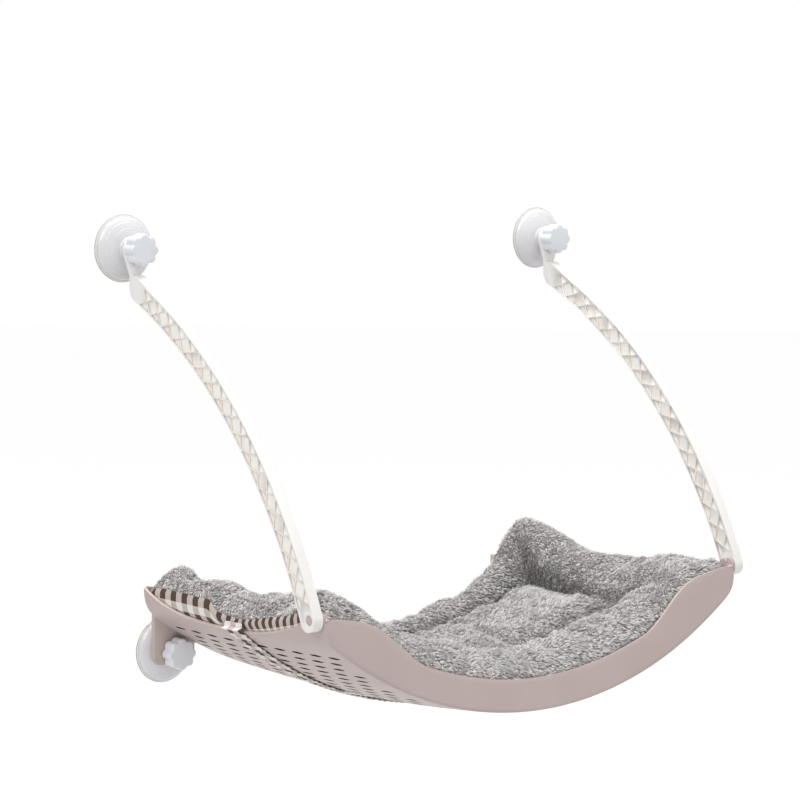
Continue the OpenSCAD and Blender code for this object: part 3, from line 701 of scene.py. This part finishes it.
# Where the stuffing has gathered or thinned: x, distance from the front, spread both ways, height.
lumps = [
    (0.258, 0.275, 0.031, 0.036, 0.021),
    (0.275, 0.008, 0.030, 0.016, -0.008),
    (0.262, 0.150, 0.055, 0.055, -0.016),
    (0.270, 0.045, 0.050, 0.045, -0.010),
    (-0.245, 0.155, 0.050, 0.045, -0.008),
    (-0.272, 0.308, 0.030, 0.024, 0.009),
    (-0.255, 0.255, 0.050, 0.026, -0.010),
    (-0.170, 0.080, 0.040, 0.040, 0.006),
    (0.172, 0.285, 0.028, 0.034, -0.001)]


def edge_share(e, power=2.6):
    """Rounded edge: 0 at the rim, 1 from its rounding inwards."""
    return (1 - (1 - np.clip(e, 0, 1)) ** power) ** (1 / power)


def pad_floor(a):
    """How far the tray's inside lies from the hammock's axis along a ray."""
    middle, bend = HULL_R - CORNER_R, CORNER_R - WALL - PAD_GAP
    off = middle * np.sin(np.maximum(a - TURN, 0))
    corner = middle * np.cos(a - TURN) + np.sqrt(np.maximum(bend ** 2 - off ** 2, 0))
    a_wall = np.maximum(a, 0.1)
    below_wall = PAD_SIDE / np.tan(a_wall) > HULL_R - CORNER_Z
    return np.where(a < TURN, PAD_R, np.where(below_wall, corner, PAD_SIDE / np.sin(a_wall)))


def border_share(end, front, back):
    """Distance from the edge in border widths, 1 along the sewn channel, with rounded corners."""
    near = np.exp(-8 * end / END_BORDER) + np.exp(-8 * front / FRONT_BORDER) + np.exp(-8 * back / BACK_BORDER)
    return -np.log(near) / 8


def thickness(q):
    """The stuffing's height by the distance from the edge in border widths."""
    swell = np.clip((q - 0.42) / 0.58, 0, 1)
    border = CHANNEL_T + (BORDER_T - CHANNEL_T) * (1 - swell ** 2.4)
    panel = CHANNEL_T + (PANEL_T - CHANNEL_T) * edge_share((q - 1) / 0.42, 2.0)
    return np.where(q < 1, border, panel)


def wobble(points, size, seed):
    """Smooth noise at points, about -1 to 1, one value each."""
    return np.array([noise.noise(Vector((x / size + seed, y / size, z / size - seed))) for x, y, z in points])


# The pad's grid has its columns closer towards the ends, and its rows towards the front and back.
share_x = np.linspace(-1, 1, PAD_COLUMNS + 1)
share_x = 0.72 * share_x + 0.28 * np.sin(share_x * math.pi / 2)
share_y = np.linspace(0, 1, PAD_ROWS + 1)
share_y = 0.62 * share_y + 0.38 * (1 - np.cos(math.pi * share_y)) / 2
across, along = (g.ravel() for g in np.meshgrid(share_x, share_y, indexing="ij"))
front, behind = along * PAD_BACK, (1 - along) * PAD_BACK
seam_z = np.where(across < 0, np.interp(front, *seam_left), np.interp(front, *seam_right))
corner_cut = 1 - np.minimum(1, np.minimum(front, behind) / 0.022)
corner_in = np.where((across < 0) | (front > behind), 0.008, 0.018)
a_end = np.arctan(PAD_SIDE / (HULL_R - seam_z)) - corner_in / PAD_R * (1 - np.sqrt(1 - corner_cut ** 2))
ray = np.abs(across) * a_end
end = (a_end - ray) * PAD_R
near_edge = np.minimum(front, behind)
side_x = np.sign(across) * PAD_R * np.sin(ray)
rise = 0.022 + 0.017 * np.clip((np.abs(across) - 0.78) / 0.2, 0, 1) * (front < behind)
sag = PAD_SAG * np.sin(math.pi * along) * (1 - np.abs(side_x / BELLY_REACH) ** 4)
under = pad_floor(ray) - 0.003 * np.clip(end / 0.02 - 2, 0, 1) + sag
under = under - rise * (1 - edge_share(near_edge / 0.028)) * np.clip(end / 0.05, 0, 1)
q = border_share(end, front, behind)
tall = thickness(q)
in_border = np.clip((1.05 - q) / 0.35, 0, 1)
for x, y, wide, deep, height in lumps:
    tall += height * in_border * np.exp(-((side_x - x) / wide) ** 2 / 2 - ((front - y) / deep) ** 2 / 2)
# Gathers along the sewn channel, creases in the middle where the pad is crushed, and slow unevenness.
stitch = np.exp(-((q - 1) / 0.28) ** 2)
runs_along = (end / END_BORDER) > np.minimum(front / FRONT_BORDER, behind / BACK_BORDER)
step = np.where(runs_along, side_x, front)
tall += 0.0022 * stitch * wobble(np.c_[step * 2.2, 0.3 * q, 0 * q], 0.030, 3.1) * 1.6
crush = np.exp(-((side_x + 0.01) / 0.10) ** 2) * np.clip(q, 0.3, 1.2)
tall += 0.0036 * crush * wobble(np.c_[side_x - 0.35 * front, 0.22 * (front + side_x), 0 * q], 0.019, 7.7)
where = np.c_[side_x, front, 0 * front]
tall += 0.0028 * wobble(where, 0.055, 1.3) + 0.0018 * wobble(where, 0.024, 5.9)
full = edge_share(end / FRONT_ROUND) * edge_share(np.minimum(front / FRONT_ROUND, behind / BACK_ROUND))
over = under + (PAD_R - tall - under) * full


def pad_points(r):
    """The cushion's points in the tray's own frame."""
    start = WALL + PAD_GAP + FRONT_LEAN * (HULL_R - r)
    y = start + along * (PAD_BACK - start)
    return np.c_[np.sign(across) * r * np.sin(ray), y, HULL_R - r * np.cos(ray)]


# The weave is measured down from the seam and along it, closer in the front half, where it is gathered.
table = np.linspace(0, 0.8, 161)
table_x, table_z = pad_floor(table) * np.sin(table), pad_floor(table) * np.cos(table)
table_run = np.concatenate(([0], np.cumsum(np.hypot(np.diff(table_x), np.diff(table_z)))))
weave_down = CHECK + 1.15 * (np.interp(a_end, table, table_run) - np.interp(ray, table, table_run))
weave_along = np.interp(front, [0, 0.030, 0.165, 0.185, PAD_BACK], [0, 0.035, 0.258, 0.284, 0.409])
bm = bmesh.new()
weave, at = bm.loops.layers.uv.new("weave"), bm.verts.layers.int.new("at")
held, ground = bm.verts.layers.float.new("held"), bm.verts.layers.float.new("tip")
# Painted shade: the ground's tone under the pile falls to nothing in the sewn channel.
shade = GROUND_TIP * (1 - np.exp(-((q - 1.04) / 0.22) ** 2))
for r, hold in ((under, np.ones_like(q)), (over, np.clip(1.25 * np.exp(-((q - 1) / 0.14) ** 2), 0, 1))):
    points = pad_points(r).reshape(PAD_COLUMNS + 1, PAD_ROWS + 1, 3)
    sheet = moved_grid(bm, PAD_COLUMNS, PAD_ROWS, lambda column, row: Vector(points[column, row]))
    for v, column, row in sheet:
        k = column * (PAD_ROWS + 1) + row
        v[at], v[held], v[ground] = k, hold[k], shade[k]
    for f in {f for v, _, _ in sheet for f in v.link_faces}:
        f.material_index = 1 if r is under else 0
        for loop in f.loops:
            loop[weave].uv = (weave_down[loop.vert[at]], weave_along[loop.vert[at]])
for v in bm.verts:
    if v.is_boundary:
        v[held] = 1.0
bmesh.ops.remove_doubles(bm, verts=bm.verts, dist=0.00001)
bmesh.ops.recalc_face_normals(bm, faces=bm.faces)
if bm.calc_volume(signed=True) < 0:
    bmesh.ops.reverse_faces(bm, faces=bm.faces)


def puffed(bm, held, cap):
    """A short cloth run under pressure: the free side swells and creases round what is held."""
    mesh = bpy.data.meshes.new("puff")
    bm.to_mesh(mesh)
    cloth_object = bpy.data.objects.new("puff", mesh)
    scene.collection.objects.link(cloth_object)
    pins = cloth_object.vertex_groups.new(name="held")
    for k, v in enumerate(bm.verts):
        if v[held] > 0.02:
            pins.add([k], v[held], "REPLACE")
    cloth = cloth_object.modifiers.new("Cloth", "CLOTH")
    settings = cloth.settings
    settings.quality, settings.mass, settings.vertex_group_mass = 6, 0.25, "held"
    settings.tension_stiffness = settings.compression_stiffness = 9
    settings.shear_stiffness, settings.bending_stiffness = 3, 0.25
    settings.use_pressure, settings.uniform_pressure_force = True, 4
    settings.shrink_min = -0.07
    settings.effector_weights.gravity = 0
    cloth.collision_settings.use_collision = False
    for f in range(1, 21):
        scene.frame_set(f)
    puffed_mesh = cloth_object.evaluated_get(bpy.context.evaluated_depsgraph_get()).data
    new_at = np.empty(len(bm.verts) * 3)
    puffed_mesh.vertices.foreach_get("co", new_at)
    for v, place in zip(bm.verts, new_at.reshape(-1, 3)):
        step = Vector(place) - v.co
        v.co += step * min(1.0, cap / max(step.length, 1e-9))
    scene.frame_set(1)
    bpy.data.objects.remove(cloth_object)
    bpy.data.meshes.remove(mesh)


puffed(bm, held, PUFF_CAP)
for v in bm.verts:
    if v[held] <= 0.99:
        r = math.hypot(v.co.x, HULL_R - v.co.z)
        v.co.x = max(-PAD_SIDE, min(PAD_SIDE, v.co.x))
        v.co.y = max(WALL + PAD_GAP + FRONT_LEAN * (HULL_R - r), min(PAD_BACK + 0.003, v.co.y))
bmesh.ops.transform(bm, matrix=in_tray, verts=bm.verts)


def fur(name, roots, tips, parting):
    """Plush: dark at the roots and pale at the tips, with tufts that drift in tone."""
    made, tree, shader = painted(name)
    height = maths(tree, "MULTIPLY_ADD", noise_at(tree, 45, 3), parting, -parting / 2)
    # The "tip" attribute carries each hair's tone with its painted light and shade, and on the ground the
    # painted shade of the sewn channel.
    tip = tree.nodes.new("ShaderNodeAttribute")
    tip.attribute_name = "tip"
    total = maths(tree, "ADD", height, tip.outputs["Fac"])
    total.node.use_clamp = True
    toned(tree, shader, total, roots, tips)
    relief_on(tree, shader, noise_at(tree, 420), 0.35, 0.001)
    shader.inputs["Roughness"].default_value = 0.75
    shader.inputs["Sheen Weight"].default_value = 0.25
    shader.inputs["Sheen Roughness"].default_value = 0.4
    return made


def gingham(name, square):
    """Woven check from the cloth's own coordinates: white, mixed and brown squares, threads and slubs."""
    made, tree, shader = painted(name)
    place = tree.nodes.new("ShaderNodeUVMap")
    place.uv_map = "weave"
    axes = tree.nodes.new("ShaderNodeSeparateXYZ")
    tree.links.new(place.outputs["UV"], axes.inputs[0])
    bands, threads = [], []
    for axis in ("X", "Y"):
        along = maths(tree, "FRACT", maths(tree, "DIVIDE", axes.outputs[axis], 2 * square))
        bands.append(maths(tree, "GREATER_THAN", along, 0.5))
        threads.append(maths(tree, "SINE", maths(tree, "MULTIPLY", axes.outputs[axis], 2 * math.pi / THREAD)))
    check = maths(tree, "MULTIPLY", maths(tree, "ADD", *bands), 0.5)
    mottle = add_node(tree, "TexNoise", Scale=1500)
    tree.links.new(place.outputs["UV"], mottle.inputs["Vector"])
    speckle = maths(tree, "MULTIPLY", maths(tree, "SUBTRACT", mottle.outputs["Fac"], 0.5), 0.35)
    ramp = toned(tree, shader, maths(tree, "ADD", check, speckle), (238, 233, 226), (72, 48, 38), 0.1, 0.9)
    ramp.new(0.5).color = linear(200, 188, 180)
    relief_on(tree, shader, maths(tree, "MULTIPLY", *threads), 0.3, 0.0003)
    shader.inputs["Roughness"].default_value = 0.82
    shader.inputs["Sheen Weight"].default_value = 0.1
    return made


fur_ground = fur("fur_ground", (128, 122, 120), (216, 212, 211), 0.5)
fur_tips = fur("fur_tips", (108, 103, 101), (254, 251, 250), 0.3)
check_cloth = gingham("check_cloth", CHECK)
cushion = finished(bm, "plush_cushion", (fur_ground, check_cloth), "perch", "cushion", modifiers=(
    ("SUBSURF", dict(levels=1, render_levels=1)),), smooth_angle=80)


# Pile: short leaning spikes on the fur, drawn together in tufts, in strips along the cushion.
PILE, STRIPS = (95000), 5
PILE_LONG, PILE_WIDE, CLUMP, CLUMP_SHARE = 0.0054, 0.00062, 10, 0.50
COMBED, SWIRL, STRAY = np.array((0.55, -0.75, -0.45)), 0.8, 0.13
PILE_CLEAR, ROOT_DEPTH = 0.0006, 0.0006
draw = np.random.default_rng(11)
noise.seed_set(11)  # noise_vector would draw its offsets by the clock
mesh = cushion.data
mesh.calc_loop_triangles()
triangles = np.empty(len(mesh.loop_triangles) * 3, dtype=np.int32)
mesh.loop_triangles.foreach_get("vertices", triangles)
paint_of = np.empty(len(mesh.loop_triangles), dtype=np.int32)
mesh.loop_triangles.foreach_get("material_index", paint_of)
at, facing = np.empty(len(mesh.vertices) * 3), np.empty(len(mesh.vertices) * 3)
mesh.vertices.foreach_get("co", at)
mesh.vertices.foreach_get("normal", facing)
at, facing = at.reshape(-1, 3), facing.reshape(-1, 3)
triangles = triangles.reshape(-1, 3)[paint_of == 0]
corners = at[triangles]
areas = np.linalg.norm(np.cross(corners[:, 1] - corners[:, 0], corners[:, 2] - corners[:, 0]), axis=1)
chosen = draw.choice(len(triangles), PILE, p=areas / areas.sum())
weights = draw.dirichlet((1, 1, 1), PILE)
root = np.einsum("ij,ijk->ik", weights, corners[chosen])
normal = np.einsum("ij,ijk->ik", weights, facing[triangles[chosen]])


def unit(vectors):
    return vectors / np.maximum(np.linalg.norm(vectors, axis=1), 1e-9)[:, None]


normal = unit(normal)
swirl = np.array([noise.noise_vector(Vector(p) / 0.07) for p in root])
lay = COMBED + SWIRL * swirl
lay = unit(lay - (lay * normal).sum(axis=1)[:, None] * normal)
stray = draw.normal(0, STRAY, (PILE, 3))
reach = PILE_LONG * draw.uniform(0.65, 1.15, PILE)[:, None]
tip = root + reach * unit(0.62 * normal + 0.85 * lay + stray)
heads = draw.choice(PILE, PILE // CLUMP, replace=False)
tree = kdtree.KDTree(len(heads))
for k, head in enumerate(heads):
    tree.insert(root[head], k)
tree.balance()
open_at = np.empty(len(mesh.vertices))
mesh.attributes["tip"].data.foreach_get("value", open_at)
# How far each hair stands in the sewn channel's painted shade, read back from the ground's tone.
sewn = 1 - np.einsum("ij,ij->i", weights, open_at[triangles[chosen]]) / GROUND_TIP
leader = heads[[tree.find(p)[1] for p in root]]
tip += CLUMP_SHARE * (tip[leader] - tip)
bend = root + 0.55 * reach * unit(normal + 0.35 * lay)
into, out_of = np.array(in_tray.inverted()), np.array(in_tray)
rim_at = np.linspace(-TRAY_HALF, TRAY_HALF, 121)
rim_front, rim_ends = [front_rim(x) for x in rim_at], [side_rim(y + TRAY_DEPTH / 2) for y in rim_at]


def kept_inside(points):
    """Points moved clear of the tray's walls where they lie below its rims."""
    x, y, z = (points @ into[:3, :3].T + into[:3, 3]).T
    wall = FRONT_LEAN * (HULL_R - np.hypot(x, HULL_R - z)) + WALL
    low = z < np.interp(x, rim_at, rim_front) + 0.001
    y = np.where(low, np.clip(y, wall + PILE_CLEAR, TRAY_DEPTH - WALL - PILE_CLEAR), y)
    inside = TRAY_HALF - WALL - PILE_CLEAR
    low = z < np.interp(y - TRAY_DEPTH / 2, rim_at, rim_ends) + 0.001
    x = np.where(low, np.clip(x, -inside, inside), x)
    return np.c_[x, y, z] @ out_of[:3, :3].T + out_of[:3, 3]


tip, bend = kept_inside(tip), kept_inside(bend)
tuft_tone = 0.75 * draw.uniform(0, 1, PILE)[leader] + 0.25 * draw.uniform(0, 1, PILE)

spike = bmesh.new()
bmesh.ops.create_cone(spike, cap_ends=True, segments=3, radius1=1, radius2=0, depth=1)
bmesh.ops.translate(spike, verts=spike.verts, vec=(0, 0, 0.5))
slopes = [e for e in spike.edges if abs(e.verts[0].co.z - e.verts[1].co.z) > 0.5]
bmesh.ops.subdivide_edges(spike, edges=slopes, cuts=1)
bmesh.ops.triangulate(spike, faces=spike.faces)
bmesh.ops.recalc_face_normals(spike, faces=spike.faces)
spike.verts.ensure_lookup_table()
spike_at = np.array([tuple(v.co) for v in spike.verts])
spike_faces = np.array([[v.index for v in f.verts] for f in spike.faces])
spike.free()

# Each hair is a spike bent along a curve from its root, and widest halfway. Its tone rises to the tip, falls
# in the sewn channel with painted shade, and is raised by painted light where the hair faces upwards.
side_way = unit(np.cross(normal, lay))
t = spike_at[None, :, 2, None]
sunk = root - ROOT_DEPTH * normal
spine = (1 - t) ** 2 * sunk[:, None] + 2 * t * (1 - t) * bend[:, None] + t ** 2 * tip[:, None]
width = PILE_WIDE * np.where(np.abs(t - 0.5) < 0.2, 1.5, 1.0)
ring = spike_at[None, :, 0, None] * side_way[:, None] + spike_at[None, :, 1, None] * lay[:, None]
hairs = spine + width * ring
patch = np.array([noise.noise(Vector(p) / 0.012) for p in root])
# Painted light on hairs that face upwards and painted shade in the sewn channel, with slow patches of tone.
patches_and_painted_light = (0.80 + 0.36 * np.clip(normal[:, 2], 0, 1)) * (1 - 0.60 * np.clip(sewn, 0, 1)) * (1 + 0.35 * patch)
tone = (0.55 + 0.75 * t[..., 0]) * (patches_and_painted_light * (0.52 + 0.76 * tuft_tone))[:, None]
strip_of = np.argsort(root[:, 0])
for k, chosen in enumerate(np.array_split(strip_of, STRIPS)):
    count, size = len(chosen), len(spike_at)
    faces = (spike_faces[None] + size * np.arange(count)[:, None, None]).reshape(-1, 3)
    mesh = bpy.data.meshes.new("pile")
    mesh.vertices.add(count * size)
    mesh.vertices.foreach_set("co", hairs[chosen].ravel())
    mesh.loops.add(faces.size)
    mesh.loops.foreach_set("vertex_index", faces.ravel())
    mesh.polygons.add(len(faces))
    mesh.polygons.foreach_set("loop_start", 3 * np.arange(len(faces)))
    mesh.update(calc_edges=True)
    mesh.attributes.new("tip", "FLOAT", "POINT").data.foreach_set("value", tone[chosen].ravel())
    mesh.materials.append(fur_tips)
    mesh.shade_smooth()
    tufts = bpy.data.objects.new("pile_%d" % k, mesh)
    scene.collection.objects.link(tufts)
    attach(tufts, "perch")


# Strap: a gathered gingham elastic that comes over both side rims from the cushion's seam and runs
# under the floor at mid-depth.
STRAP_W, STRAP_T, STRAP_OFF = 0.027, 0.0009, 0.0011
STRAP_COLUMNS, STRAP_ROWS = 260, 12
STRAP_Y = TRAY_DEPTH / 2
GATHER, GATHER_STEP, EDGE_STEP = 0.0006, 0.0075, 0.016
ROUTE_STEPS = 160
strap_rim = run_to(side_rim(STRAP_Y))
hook = [(PAD_SIDE - 0.0008, 0.1010), (TRAY_HALF - 0.0042, 0.0985), (TRAY_HALF - 0.0028, 0.0958),
    (TRAY_HALF - 0.0010, 0.0947), (TRAY_HALF + 0.0006, 0.0944), (TRAY_HALF + STRAP_OFF, 0.0936)]
route = [(-x, z) for x, z in hook]
for k in range(ROUTE_STEPS + 1):
    run = (2 * k / ROUTE_STEPS - 1) * (strap_rim - 0.002)
    x, z, facing_out = hull_at(run)
    z += belly(x, STRAP_Y)
    route.append((x + STRAP_OFF * facing_out[0], z + STRAP_OFF * facing_out[1]))
route += list(reversed(hook))
route = np.array(route)
lengths = np.concatenate(([0], np.cumsum(np.hypot(*np.diff(route, axis=0).T))))
STRAP_LONG = float(lengths[-1])


def on_route(s):
    return Vector((np.interp(s, lengths, route[:, 0]), 0, np.interp(s, lengths, route[:, 1])))


def strap_corner(column, row):
    """A point of the strap, which is gathered along its length and wavy at its edges."""
    s = STRAP_LONG * column / STRAP_COLUMNS
    share = row / STRAP_ROWS
    turn = (on_route(min(STRAP_LONG, s + 0.003)) - on_route(max(0, s - 0.003))).normalized()
    phase = 2 * math.pi * s / GATHER_STEP + 3 * noise.noise(Vector((s * 40, share * 2, 0)))
    wave = GATHER * math.sin(2 * math.pi * s / EDGE_STEP) * (2 * share - 1)
    y = STRAP_Y + STRAP_W * (share - 0.5) + wave
    out = GATHER * (1 + math.sin(phase)) * Vector((turn.z, 0, -turn.x))
    return on_route(s) + Vector((0, y, 0)) + out


bm = bmesh.new()
weave = bm.loops.layers.uv.new("weave")
for v, column, row in moved_grid(bm, STRAP_COLUMNS, STRAP_ROWS, strap_corner):
    for loop in v.link_loops:
        loop[weave].uv = (STRAP_LONG * column / STRAP_COLUMNS, 3 * CHECK * row / STRAP_ROWS)
bmesh.ops.transform(bm, matrix=in_tray, verts=bm.verts)
strap = finished(bm, "gingham_strap", (check_cloth,), "perch", "elastic_strap", modifiers=(
    ("SOLIDIFY", dict(thickness=STRAP_T, offset=0)),), smooth_angle=60)
